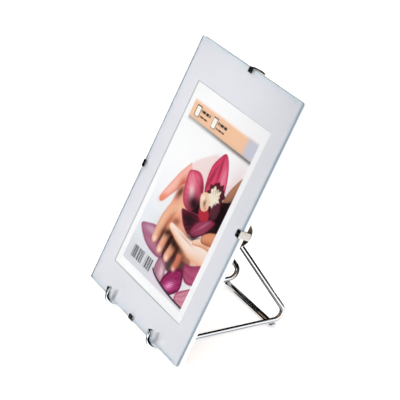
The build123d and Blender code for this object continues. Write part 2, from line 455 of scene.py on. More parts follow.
def chrome_plate(colour):
    """Bright chrome plate on drawn steel wire.

    A cool mirror. The wire was drawn through a die before it was plated, which leaves
    faint lines along it, and the plate itself has a very slight orange peel.
    """
    material, tree = new_material("bright_chrome_plate")
    place = add(
        tree, "ShaderNodeAttribute", attribute_name="wire_place", attribute_type="GEOMETRY"
    ).outputs["Vector"]
    # Die lines are about 0.02 mm apart, drawn here at 0.35 mm so that they show.
    lines_at = add(
        tree, "ShaderNodeMapping",
        {"Vector": place, "Scale": (per_metre(60), per_metre(0.35), per_metre(0.35))},
    ).outputs[0]
    lines = add(tree, "ShaderNodeTexNoise", {"Vector": lines_at, "Scale": 1.0, "Detail": 2.0})
    peel = add(tree, "ShaderNodeTexNoise", {"Vector": place, "Scale": per_metre(1.6), "Detail": 1.0})
    haze = add(tree, "ShaderNodeTexNoise", {"Vector": place, "Scale": per_metre(14), "Detail": 3.0})
    rough = add(
        tree, "ShaderNodeMapRange",
        {"Value": haze.outputs[0], "From Min": 0.3, "From Max": 0.75, "To Min": 0.02, "To Max": 0.07},
    )
    bump = add(
        tree, "ShaderNodeBump",
        {"Height": lines.outputs[0], "Strength": 0.12, "Distance": 0.008 * MM},
    )
    bump = add(
        tree, "ShaderNodeBump",
        {"Height": peel.outputs[0], "Strength": 0.15, "Distance": 0.02 * MM, "Normal": bump.outputs[0]},
    )
    shader = add(
        tree, "ShaderNodeBsdfPrincipled",
        {"Base Color": rgba(colour), "Metallic": 1.0, "Roughness": rough.outputs[0],
         "Normal": bump.outputs[0]},
    )
    finish_material(tree, shader.outputs[0])
    return material


class CLIPFRAME_OT_bend_easel(bpy.types.Operator):
    """Bend the easel from one length of wire and weld the foot bar under it"""

    bl_idname = "clipframe.bend_easel"
    bl_label = "Wire Easel"

    def execute(self, context):
        sizes = context.scene.clip_frame_easel
        pane = Pane(context.scene.clip_frame_sheets)
        chrome = chrome_plate(context.scene.clip_frame_finishes.chrome)
        side = easel_side(sizes, pane)
        left = [(-sizes.half_width, y, z) for y, z in side]
        right = [(sizes.half_width, y, z) for y, z in reversed(side)]
        wire_piece(
            "bent_easel_wire", left + right, sizes, sizes.end_round, chrome, "easel",
            ["easel_wire"],
        )
        end = sizes.half_width + sizes.foot_overhang
        foot_y = side[1][0] + sizes.foot_from_hook
        foot_z = sizes.wire_diameter / 2
        wire_piece(
            "welded_foot_bar", [(-end, foot_y, foot_z), (end, foot_y, foot_z)], sizes,
            sizes.end_round / 2, chrome, "easel", ["rear_foot_bar"],
        )
        return {"FINISHED"}


# ------------------------------------------------------------------ the glass
def sheet_outline(half_width, half_height, radius, inset, corner_steps=8):
    """Rounded rectangle, one row of points for each inset: corner centre + (r - inset)(cos, sin)."""
    q = np.linspace(0, np.pi / 2, corner_steps)
    angle = np.concatenate([q + k * np.pi / 2 for k in range(4)])
    sign_x = np.repeat([1, -1, -1, 1], corner_steps)
    sign_v = np.repeat([1, 1, -1, -1], corner_steps)
    inset = np.atleast_1d(inset)[:, None]
    x = sign_x * (half_width - radius) + (radius - inset) * np.cos(angle)
    v = sign_v * (half_height - radius) + (radius - inset) * np.sin(angle)
    return x, v


def clear_float_glass():
    """Clear float glass.

    Polished on both faces, so it mirrors sharply and bends what lies behind it. Float glass
    has a slow ripple from the bath.
    """
    material, tree = new_material("clear_float_glass")
    at = add(tree, "ShaderNodeTexCoord").outputs["Object"]
    ripple = add(tree, "ShaderNodeTexNoise", {"Vector": at, "Scale": per_metre(45)})
    bump = add(
        tree, "ShaderNodeBump",
        {"Height": ripple.outputs[0], "Strength": 0.2, "Distance": 0.02 * MM},
    )
    shader = add(
        tree, "ShaderNodeBsdfPrincipled",
        {"Base Color": rgba(linear("#FFFFFF")), "Roughness": 0.0, "IOR": 1.5,
         "Transmission Weight": 1.0, "Normal": bump.outputs[0]},
    )
    finish_material(tree, shader.outputs[0])
    return material


def ground_glass_edge(colour, pane, thickness):
    """Seamed edge of float glass.

    Ground with a fine wheel, so it is frosted, and blue-grey. Its colour is painted darkest
    at the middle of its thickness and pale at its rims: painted shade and highlight that
    stand in for the light that runs inside the pane.
    """
    material, tree = new_material("seamed_glass_edge")
    depth = pane_coordinates(tree, pane)[1]
    across = add(tree, "ShaderNodeMapRange", {"Value": depth, "From Max": thickness})
    # Painted shade and highlight: dark across the middle of the edge, pale at its rims.
    shade = add(
        tree, "ShaderNodeValToRGB", {"Fac": across.outputs[0]},
        stops=[
            (0.0, linear("#B4BEC4")),
            (0.2, linear("#98A3AA")),
            (0.5, colour),
            (0.72, linear("#76818A")),
            (1.0, linear("#A4AFB6")),
        ],
    )
    at = add(tree, "ShaderNodeTexCoord").outputs["Object"]
    # A 220 grit seaming wheel leaves marks of about 0.07 mm, drawn here at 0.3 mm.
    grit = add(tree, "ShaderNodeTexNoise", {"Vector": at, "Scale": per_metre(0.3), "Detail": 2.0})
    drift = add(tree, "ShaderNodeTexNoise", {"Vector": at, "Scale": per_metre(9), "Detail": 2.0})
    varied = add(
        tree, "ShaderNodeMix",
        {0: drift.outputs[0], 6: shade.outputs[0], 7: rgba(colour)},
        data_type="RGBA", clamp_factor=True,
    )
    # Painted light: where the edge is seen from inside, through the pane, it is painted pale, standing in
    # for the mat's light that would fill it.
    inside = add(tree, "ShaderNodeNewGeometry").outputs["Backfacing"]
    varied = add(
        tree, "ShaderNodeMix",
        {0: inside, 6: varied.outputs[2], 7: rgba(linear("#E4E6EC"))},
        data_type="RGBA",
    )
    finish_grained(
        tree, grit.outputs[0], (0.22, 0.5), 0.25, 0.03,
        {"Base Color": varied.outputs[2], "IOR": 1.5},
    )
    return material


class CLIPFRAME_OT_cut_glass(bpy.types.Operator):
    """Cut the glass and take off its sharp edges"""

    bl_idname = "clipframe.cut_glass"
    bl_label = "Glass"

    def execute(self, context):
        sizes = context.scene.clip_frame_sheets
        finishes = context.scene.clip_frame_finishes
        pane = Pane(sizes)
        # The edge's profile: a quarter circle off each rim, and the flat between them.
        q = np.linspace(0, np.pi / 2, 5)
        back = sizes.glass_thickness - sizes.air_gap
        rim_inset = sizes.glass_arris * (1 - np.sin(q))
        rim_depth = sizes.glass_arris * (1 - np.cos(q))
        inset = np.concatenate([rim_inset, rim_inset[::-1]])
        depth = np.concatenate([rim_depth, (back - rim_depth)[::-1]])
        x, v = sheet_outline(sizes.width / 2, sizes.height / 2, sizes.corner_radius, inset)
        grid = pane.place(x, depth[:, None], sizes.height / 2 + v)
        rows, columns = x.shape
        faces = grid_faces(rows, columns, around=True).tolist()
        faces += [list(range(columns))[::-1], list(range((rows - 1) * columns, rows * columns))]
        mesh = make_mesh("cut_glass_pane", grid, faces)
        slots = np.ones(len(faces), np.int32)
        slots[-2:] = 0
        mesh.polygons.foreach_set("material_index", slots)
        materials = [clear_float_glass(), ground_glass_edge(finishes.edge_glass, pane, back)]
        make_piece("cut_glass_pane", mesh, materials, "frame", ["glass_pane"])
        return {"FINISHED"}


# ------------------------------------------------------------------ the picture
def smooth_step(value):
    """0 below 0, 1 above 1, and 3 t^2 - 2 t^3 between them."""
    t = np.clip(value, 0.0, 1.0)
    return t * t * (3.0 - 2.0 * t)


def smooth_line(points, closed, steps=6):
    """Catmull-Rom curve through the points, with each span split into equal steps.

    A span from b to c, with a before it and d after it, is half of
    2b + (c - a) t + (2a - 5b + 4c - d) t^2 + (3b - 3c + d - a) t^3.
    """
    b = np.asarray(points, float)
    if not closed:
        b = np.vstack([b[:1], b, b[-1:]])
    a, c, d = (np.roll(b, k, axis=0) for k in (1, -1, -2))
    t = np.linspace(0, 1, steps, endpoint=False)[:, None, None]
    curve = 2 * b + (c - a) * t + (2 * a - 5 * b + 4 * c - d) * t**2
    curve = 0.5 * (curve + (3 * b - 3 * c + d - a) * t**3)
    curve = curve.transpose(1, 0, 2)
    if closed:
        return curve.reshape(-1, 2)
    return np.vstack([curve[1:-2].reshape(-1, 2), b[-1:]])


class Ink:
    """The printed sheet: x across and y down in millimetres, and its colour so far."""

    def __init__(self, x, y, paper):
        self.x, self.y = x, y
        self.colour = np.ones((*x.shape, 3)) * np.array(paper)

    def lay(self, cover, colour):
        """Lays a colour over what is there: old + (new - old) cover."""
        self.colour += (np.asarray(colour) - self.colour) * np.clip(cover, 0, 1)[..., None]

    def shape(self, points):
        """Depth of every point inside a smooth closed outline, negative outside it."""
        loop = smooth_line(points, closed=True)
        nearest = np.full(self.x.shape, 1e9)
        inside = np.zeros(self.x.shape, bool)
        for (ax, ay), (bx, by) in zip(loop, np.roll(loop, -1, axis=0)):
            run_x, run_y = bx - ax, by - ay
            t = (self.x - ax) * run_x + (self.y - ay) * run_y
            t = np.clip(t / (run_x**2 + run_y**2), 0, 1)
            apart = (self.x - ax - t * run_x) ** 2 + (self.y - ay - t * run_y) ** 2
            nearest = np.minimum(nearest, apart)
            if ay != by:
                crossed = ax + (self.y - ay) * run_x / run_y
                inside ^= ((self.y < ay) != (self.y < by)) & (self.x < crossed)
        return np.sqrt(nearest) * np.where(inside, 1, -1)

    def dab(self, centre, size, colour, strength=1.0, turn=0.0, within=1.0):
        """Soft brush: strength exp(-r^2), where r is measured in the dab's own size."""
        angle = math.radians(turn)
        x, y = self.x - centre[0], self.y - centre[1]
        along = (x * math.cos(angle) + y * math.sin(angle)) / size[0]
        aside = (y * math.cos(angle) - x * math.sin(angle)) / size[1]
        self.lay(strength * np.exp(-(along**2) - aside**2) * within, linear(colour))

    def petal(self, points, root, tip, rim, body, veins, soft=0.5, rim_width=2.2):
        """A petal: a dark rim, a lighter body, and veins that fan out from its root."""
        depth = self.shape(points)
        cover = smooth_step(depth / soft + 0.5)
        along_x, along_y = tip[0] - root[0], tip[1] - root[1]
        length = math.hypot(along_x, along_y)
        x, y = self.x - root[0], self.y - root[1]
        along = (x * along_x + y * along_y) / length**2
        aside = (y * along_x - x * along_y) / length**2
        fan = aside / (0.45 + np.abs(along)) + 0.02 * np.sin(11 * along)
        vein = 0.5 + 0.5 * np.cos(2 * np.pi * veins * fan)
        self.lay(cover, linear(body))
        self.lay(cover * 0.3 * vein**2, linear(rim))
        self.lay(cover * (1 - smooth_step(depth / rim_width)) * 0.8, linear(rim))
        return cover

    def limb(self, spine, widths, lit, shade, lit_from, soft=0.5, merge=0.0):
        """A finger: a round stroke along a smooth line, lit from one side.

        At n widths to the side of the line the skin's normal is (n, sqrt(1 - n^2)). The
        stroke fades in over the first part of the line, as much of it as merge says.
        """
        line = smooth_line(spine, closed=False)
        at = np.linspace(0, 1, len(line))
        wide = np.interp(at, np.linspace(0, 1, len(widths)), widths)
        nearest = np.full(self.x.shape, 1e9)
        lean, reached = np.zeros(self.x.shape), np.zeros(self.x.shape)
        side_x, side_y = lit_from
        for (ax, ay), (bx, by), near_a, near_b, start in zip(line, line[1:], wide, wide[1:], at):
            run_x, run_y = bx - ax, by - ay
            t = (self.x - ax) * run_x + (self.y - ay) * run_y
            t = np.clip(t / (run_x**2 + run_y**2), 0, 1)
            width = near_a + t * (near_b - near_a)
            x, y = (self.x - ax - t * run_x) / width, (self.y - ay - t * run_y) / width
            apart = np.hypot(x, y)
            closer = apart < nearest
            nearest = np.where(closer, apart, nearest)
            lean = np.where(closer, x * side_x + y * side_y, lean)
            reached = np.where(closer, start + t * at[1], reached)
        cover = smooth_step((1 - nearest) * min(widths) / soft + 0.5)
        cover = cover * smooth_step(reached / max(merge, 1e-6))
        facing = np.sqrt(np.clip(1 - nearest**2, 0, 1))
        light = smooth_step(0.55 * facing + 0.45 * lean + 0.15)[..., None]
        self.lay(cover, np.array(linear(shade)) * (1 - light) + np.array(linear(lit)) * light)


def picture_backdrop(ink):
    """White paper that turns pale blue-grey towards its lower left."""
    low = smooth_step((ink.y - 45) / 55)
    left = 1 - smooth_step((ink.x - 20) / 45)
    ink.lay(low * (0.2 + 0.8 * left) * 0.4, linear("#DCE3EA"))
    ink.lay(smooth_step((ink.y - 100) / 20) * 0.5, linear("#D9D9DE"))
    far_hand = [(25, 62), (28, 53), (36, 43), (46, 36), (56, 31), (59, 42), (56, 56), (42, 60), (33, 64)]
    ink.lay(smooth_step(ink.shape(far_hand) / 3.0 + 0.5) * 0.75, linear("#F4DFDC"))
    ink.dab((86, 42), (9, 16), "#F3DCDD", 0.7)


def picture_ribbon(ink):
    """Peach ribbon over the top, with two plain sheets on it and a shadow under it."""
    foot = 22.2
    ribbon = smooth_step((ink.y - 9) / 3) * (ink.y < foot)
    ink.lay(ribbon, linear("#FAD6B8"))
    ink.lay(ribbon * smooth_step((ink.x - 74) / 6), linear("#DADBE6"))
    ink.lay(ribbon * smooth_step((ink.y - 20.2) / 2.4) * 0.5, linear("#D8C0B0"))
    under = (ink.y >= foot) * (1 - smooth_step((ink.y - foot) / 3.2))
    ink.lay(under * (0.55 + 0.4 * smooth_step(ink.x / 80)), linear("#7E7876"))
    for left in (10.5, 33.0):
        x, y = ink.x - left - 2.9, ink.y - 16.4
        outside = np.maximum(np.abs(x) - 2.7, np.abs(y) - 3.5)
        ink.lay(outside < 0, linear("#FFFDF6"))
        ink.lay(np.abs(outside) < 0.3, linear("#544438"))
        # Plain bars stand where small print would be.
        for drop, length, tall in ((14.9, 11.5, 1.0), (18.4, 10.5, 0.65)):
            across = ink.x - left - 7.0
            bar = (across > 0) & (across < length) & (np.abs(ink.y - drop) < tall)
            gaps = np.sin(across * 3.1) + np.sin(across * 1.3 + left) > -1.1
            ink.lay(bar * gaps * 0.95, linear("#2A1C16"))


def picture_hands(ink):
    """Cupped hands: thumb, palm and four fingers, dark between the fingers."""
    petal = ink.petal(
        [(9.5, 99.5), (17, 96), (27, 94), (38, 98), (49, 106), (42, 109.5), (30, 109), (19, 106)],
        (48, 104), (9, 100), "#A85C7E", "#C88CA6", 5, soft=1.4,
    )
    ink.dab((24, 98), (9, 2.2), "#DCBBD0", 0.8, turn=-6, within=petal)
    ink.limb([(37, 50), (30, 58), (24, 67), (18, 76.5)], (6.5, 5.6, 4.4, 2.8), "#FFD8CC",
             "#E8947C", (0.3, -0.9), soft=0.8)
    ink.dab((19, 76), (4.5, 2.2), "#F49A78", 0.85, turn=-38)
    ink.dab((33, 61), (4.2, 5.5), "#D8683E", 0.8)
    palm = [(32, 62), (40, 60), (52, 70), (64, 80), (62, 92), (46, 97), (32, 98), (27.5, 90), (30, 76)]
    ink.lay(smooth_step(ink.shape(palm) + 0.5), linear("#F8BEA6"))
    ink.dab((34.5, 66), (3, 5), "#6E2E22", 0.9, turn=20)
    ink.dab((38, 78), (4, 8), "#F4C8A8", 0.8, turn=15)
    ink.dab((43, 73), (9, 2.6), "#F8D4B6", 0.95, turn=-38)
    ink.dab((44, 83), (5, 2.6), "#A85A40", 0.8, turn=-20)
    ink.dab((49, 96), (15, 7), "#3E180E", 1.0, turn=12)
    gap = [(46, 92), (58, 89), (72, 93), (78, 100), (72, 110), (58, 112), (46, 108)]
    ink.lay(smooth_step(ink.shape(gap) / 2.0 + 0.5) * 0.9, linear("#5A2028"))
    fingers = (
        ([(37, 72), (31.8, 86), (30.4, 100)], (6.0, 5.2, 4.1), "#FFD8BA"),
        ([(44, 82), (41, 93), (40.4, 103.4)], (4.8, 4.5, 4.0), "#FDCFB0"),
        ([(53, 88), (53, 97), (51.2, 104.6)], (4.4, 4.2, 3.8), "#FBC9A8"),
        ([(62, 92), (64.5, 100), (63.4, 106.5)], (3.8, 3.6, 3.0), "#E8987A"),
    )
    for spine, widths, lit in fingers:
        ink.limb(spine, widths, lit, "#C06A4A", (-0.5, 0.1), soft=0.8, merge=0.55)
        tip_x, tip_y = spine[-1]
        ink.dab((tip_x, tip_y + 1.2), (2.3, 2.0), "#FDE9DE", 0.9)
    for x, y, tall in ((36.2, 97, 5.5), (45.8, 98, 6.5), (57.8, 99, 6.5)):
        ink.dab((x, y), (1.2, tall), "#461C14", 0.9, turn=4)
    ink.dab((41, 92), (6.5, 2.6), "#542012", 0.95, turn=-20)
    ink.dab((53, 95), (9.0, 3.4), "#401810", 1.0, turn=10)
    ink.dab((38, 85), (3, 4), "#DE8A62", 0.6)


def picture_orchid(ink):
    """An orchid: three petals behind, two dark ones in front, and a spotted cream lip."""
    ink.limb([(92, 36), (86, 46), (83, 60)], (4.5, 4.2, 4.0), "#CF9C80", "#94624A", (-0.6, -0.2))
    ink.dab((86, 64), (9, 11), "#2A0814", 1.0)
    hollow = [(77, 55), (84, 52), (93, 50), (93, 76), (82, 77), (70, 80), (58, 76), (53, 68), (60, 60)]
    ink.lay(smooth_step(ink.shape(hollow) + 0.5), linear("#3A1020"))
    upper = ink.petal(
        [(61.8, 27.5), (67, 29.5), (72, 35), (76.5, 43), (78.5, 52), (70, 58), (60, 57), (55.5, 50),
         (54, 40), (57, 33)],
        (65, 60), (62, 27), "#C83460", "#EC5E88", 7,
    )
    ink.dab((71, 42), (3.4, 9), "#F2A2B8", 0.85, turn=-22, within=upper)
    ink.dab((58.5, 46), (1.8, 11), "#981E40", 0.7, turn=8, within=upper)
    ink.dab((64, 38), (1.1, 9), "#A01E48", 0.8, turn=-14, within=upper)
    left = ink.petal(
        [(33.5, 51.5), (38, 48.6), (45, 47.4), (51, 49.5), (56, 54), (59, 60), (57, 67), (53, 71.5),
         (46, 71.5), (40, 68), (36, 61)],
        (58, 62), (34, 51), "#CC4A6C", "#EC7C98", 8, rim_width=3.0,
    )
    ink.dab((45, 60), (2.8, 7.0), "#FDE2E6", 1.0, turn=-42, within=left)
    ink.dab((41, 55), (2.4, 5.0), "#EC98A8", 0.8, turn=-50, within=left)
    ink.dab((54, 55), (2.5, 6.5), "#97264A", 0.8, turn=-40, within=left)
    ink.dab((53, 66), (7.5, 5.5), "#3E0A20", 1.0, within=left)
    ink.dab((59, 67), (5, 4.5), "#340A22", 0.9)
    lower = ink.petal(
        [(44, 73.5), (51, 72), (60, 70), (68, 70), (73, 74), (69, 80), (62, 84), (54, 82), (48, 78)],
        (66, 72), (46, 75), "#B8506C", "#6A1C3C", 5, rim_width=1.4,
    )
    ink.dab((57, 76), (8, 4), "#3A0C22", 0.95, turn=6, within=lower)
    right = ink.petal(
        [(62, 82), (64, 75), (70, 70), (77, 67), (83, 67), (80, 73), (75, 79), (68, 84)],
        (66, 82), (83, 67), "#7A1E3E", "#B8567A", 5,
    )
    ink.dab((73, 73), (1.2, 6), "#D08CA0", 0.7, turn=42, within=right)
    small = ink.shape([(61, 65), (67, 62.5), (73, 65), (74, 69), (68, 71.5), (63.5, 70)])
    ink.lay(smooth_step(small + 0.5), linear("#CC3E54"))
    picture_lip(ink)


def picture_lip(ink):
    """The orchid's lip: a ragged maroon fringe round ragged cream, and a cream column."""
    x, y = (ink.x - 70.8) / 10.4, (ink.y - 54.2) / 9.8
    reach, angle = np.hypot(x, y), np.arctan2(y, x)
    ragged = 0.06 * np.sin(9 * angle) + 0.055 * np.sin(14 * angle + 1)
    ink.lay(smooth_step((1.0 + ragged - reach) * 14), linear("#6C0E2C"))
    cream = 0.66 + 0.07 * np.sin(5 * angle + 0.6) + 0.07 * np.sin(11 * angle)
    centred = np.hypot((ink.x - 69.8) / 10.2, (ink.y - 54.2) / 9.6)
    ink.lay(smooth_step((cream - centred) * 12), linear("#FFF8E6"))
    spots = np.sin(ink.x * 2.9 + 1.5 * np.sin(ink.y * 1.7)) * np.sin(ink.y * 3.3 + ink.x)
    speckled = smooth_step((1 - np.hypot((ink.x - 77) / 5.5, (ink.y - 61) / 6.5)) * 4)
    ink.lay(speckled * 0.9 * (spots > 0.05), linear("#5E1230"))
    ink.lay(speckled * 0.5 * (spots < -0.35), linear("#D98FA8"))
    ink.lay((cream > centred) * (spots > 0.72) * 0.75, linear("#5A2030"))
    ink.dab((71, 49.5), (4.5, 1.6), "#8A4A50", 0.35, turn=-30)
    column = ink.shape([(56.5, 58), (62, 54.5), (67, 57.5), (69.5, 63), (65, 66), (60, 64)])
    ink.lay(smooth_step(column + 0.5), linear("#F8DCC0"))
    ink.dab((63.5, 61), (1.4, 2.6), "#7A4A20", 0.85, turn=-30)
    ink.dab((60.0, 59.0), (2.4, 1.6), "#FEF3E6", 0.9)
    ink.dab((66.5, 63.5), (1.6, 1.4), "#E8938C", 0.7)


def picture_lower_hand(ink):
    """The pale hand that lies across the fingers, and the knuckle over it."""
    ink.dab((70, 84), (13, 2.8), "#3E1420", 0.9, turn=-14)
    ink.limb([(95, 85), (82, 88.5), (68, 91), (54, 89), (41, 87)], (12, 7.4, 5.4, 3.8, 2.0),
             "#FFF6EE", "#F4BE98", (0.1, -0.7), soft=0.8)
    ink.limb([(92, 80), (82, 81), (71, 85.5)], (4, 3.4, 1.6), "#FFE8D6", "#E4A27A", (0, -0.6), merge=0.3)
    ink.dab((62, 87.5), (10, 0.7), "#D9A080", 0.6, turn=4)
    ink.limb([(92, 75), (84, 77.5), (79, 79.5)], (4.6, 4.2, 2.8), "#F4B890", "#C07050", (0, -0.6))
    ink.dab((76, 97.5), (12, 1.6), "#E2A17C", 0.7, turn=-4)
    ink.dab((60, 94.5), (9, 1.2), "#6A3424", 0.7, turn=8)


def picture_blossoms(ink):
    """More blossoms under the hands, above the dark rim of a bowl."""
    ink.petal([(72, 101), (80, 98), (93, 93), (93, 105), (80, 109)], (72, 102), (93, 96),
              "#9A3058", "#C86A90", 4, soft=1.2)
    ink.petal([(44, 109), (50, 108), (56, 112), (58, 120), (52, 124), (45, 121)], (46, 109), (56, 122),
              "#8E5068", "#C894A8", 4, soft=1.0)
    ink.dab((53, 115), (2.8, 4.8), "#F2D6DE", 0.95, turn=-30)
    ink.petal([(77, 119), (84, 113), (93, 109), (93, 124), (80, 124)], (78, 121), (92, 112),
              "#B84C70", "#E2A4B4", 4, soft=0.8)
    flower = ink.petal(
        [(57, 117), (61, 110), (67, 106), (72, 104), (77, 108), (79, 115), (75, 120), (68, 124), (58, 124)],
        (60, 122), (76, 107), "#6E1242", "#C63C86", 6, soft=0.8, rim_width=3.0,
    )
    ink.dab((67, 118), (5, 2.4), "#FFB0DC", 0.95, turn=-35, within=flower)
    spots = np.sin(ink.x * 3.4 + ink.y) * np.sin(ink.y * 2.8 - 0.8 * ink.x)
    ink.lay(flower * (spots > 0.45) * 0.75, linear("#3E0A2A"))
    ink.limb([(64, 98), (64.5, 103), (63.4, 107)], (3.8, 3.4, 2.6), "#E59A7C", "#A4543C", (-0.5, 0))
    ink.dab((63.4, 108), (1.8, 1.4), "#FBD9D0", 0.8)
    # The bowl's rim dips in an ellipse of 47 mm by 8 mm.
    rim = 115.5 + 8.0 * np.sqrt(np.clip(1 - ((ink.x - 89) / 47) ** 2, 0, 1))
    in_bowl = (ink.x > 42.5)
    ink.lay(in_bowl * smooth_step((ink.y - rim) / 0.5), linear("#ECE7EE"))
    ink.lay(in_bowl * smooth_step(1.2 - np.abs(ink.y - rim) / 0.9), linear("#33222E"))


def picture_bars(ink):
    """A block of plain upright bars of uneven width."""
    wave = np.sin(ink.x * 5.3) + np.sin(ink.x * 8.9 + 1) + 0.6 * np.sin(ink.x * 2.1)
    block = ((ink.x > 13.2) & (ink.x < 40) & ((ink.x < 27.6) | (ink.x > 30.4))
             & (ink.y > 113.0) & (ink.y < 121.2))
    ink.lay(block * (wave > -0.25) * 0.97, linear("#141316"))


def picture_ink(across, down, paper):
    """Colour of the print at each point, in linear RGB, from the sheet's own millimetres.

    An orchid in cupped hands, painted back to front out of smooth outlines, round strokes
    and soft dabs. A white margin is left round it inside the mat's opening.
    """
    ink = Ink(across, down, paper)
    for part in (
        picture_backdrop, picture_hands, picture_orchid, picture_lower_hand, picture_blossoms,
        picture_bars, picture_ribbon,
    ):
        part(ink)
    press_gain = 1.3  # the press lays more ink where the picture is dark
    ink.colour **= press_gain
    (left, right), (top, bottom) = (5.7, 88.9), (5.2, 125.5)
    ink.lay((across < left) | (across > right) | (down < top) | (down > bottom), paper)
    return ink.colour


def coated_paper():
    """Digital print on coated paper.

    The ink soaks into a smooth clay coat, so it is satin rather than glossy, with the
    faint mottle of the paper's fibres under it.
    """
    material, tree = new_material("coated_print_paper")
    ink = add(
        tree, "ShaderNodeAttribute", attribute_name="ink", attribute_type="GEOMETRY"
    ).outputs["Color"]
    at = add(tree, "ShaderNodeTexCoord").outputs["Object"]
    # Fibre clumps in coated paper are about 0.8 mm across.
    mottle = add(tree, "ShaderNodeTexNoise", {"Vector": at, "Scale": per_metre(0.8), "Detail": 3.0})
    tone = add(tree, "ShaderNodeMapRange", {"Value": mottle.outputs[0], "To Min": 0.97, "To Max": 1.02})
    inked = add(
        tree, "ShaderNodeMix",
        {0: 1.0, 6: ink, 7: tone.outputs[0]},
        data_type="RGBA", blend_type="MULTIPLY",
    )
    finish_grained(
        tree, mottle.outputs[0], (0.38, 0.5), 0.1, 0.01,
        {"Base Color": inked.outputs[2], "IOR": 1.5, "Specular IOR Level": 0.2},
    )
    return material


class CLIPFRAME_OT_print_picture(bpy.types.Operator):
    """Print the picture on its sheet of paper"""

    bl_idname = "clipframe.print_picture"
    bl_label = "Printed Picture"

    def execute(self, context):
        sizes = context.scene.clip_frame_sheets
        finishes = context.scene.clip_frame_finishes
        pane = Pane(sizes)
        front = sizes.glass_thickness + sizes.mat_thickness + sizes.air_gap
        back = sizes.glass_thickness + sizes.mat_thickness + sizes.print_thickness
        middle = sizes.height / 2 - sizes.window_drop
        spare = 1.0 * MM

        def lines(half_sheet, half_window, centre):
            """Evenly spaced lines across the opening, and one at each side of the sheet."""
            half = half_window + spare
            inner = np.linspace(-half, half, int(round(2 * half / sizes.ink_spacing)) + 1)
            return np.concatenate([[-half_sheet], centre + inner, [half_sheet]])

        x = lines(sizes.width / 2 - sizes.print_inset, sizes.window_width / 2, 0.0)
        v = sizes.height / 2 + lines(
            sizes.height / 2 - sizes.print_inset, sizes.window_height / 2, -sizes.window_drop
        )
        rows, columns = len(v), len(x)
        grid = pane.place(x[None], front, v[:, None]).reshape(-1, 3)
        index = np.arange(rows * columns).reshape(rows, columns)
        rim = np.concatenate([index[0, :-1], index[:-1, -1], index[-1, :0:-1], index[:0:-1, 0]])
        behind = len(grid) + np.arange(len(rim))
        depth = (back - front) * np.array(pane.back_normal)
        points = np.vstack([grid, grid[rim] + depth])
        sides = np.stack([rim, behind, np.roll(behind, -1), np.roll(rim, -1)], axis=-1)
        faces = grid_faces(rows, columns).tolist() + sides.tolist() + [behind[::-1].tolist()]
        mesh = make_mesh("printed_picture", points, faces)
        across = np.broadcast_to(x[None] + sizes.window_width / 2, (rows, columns))
        down = np.broadcast_to(middle + sizes.window_height / 2 - v[:, None], (rows, columns))
        colour = picture_ink(across / MM, down / MM, finishes.paper).reshape(-1, 3)
        colour = np.vstack([colour, np.tile(tuple(finishes.paper), (len(rim), 1))])
        add_attribute(mesh, "ink", "FLOAT_COLOR", np.hstack([colour, np.ones((len(colour), 1))]))
        make_piece(
            "printed_picture", mesh, [coated_paper()], "frame",
            ["picture_print"],
        )
        return {"FINISHED"}


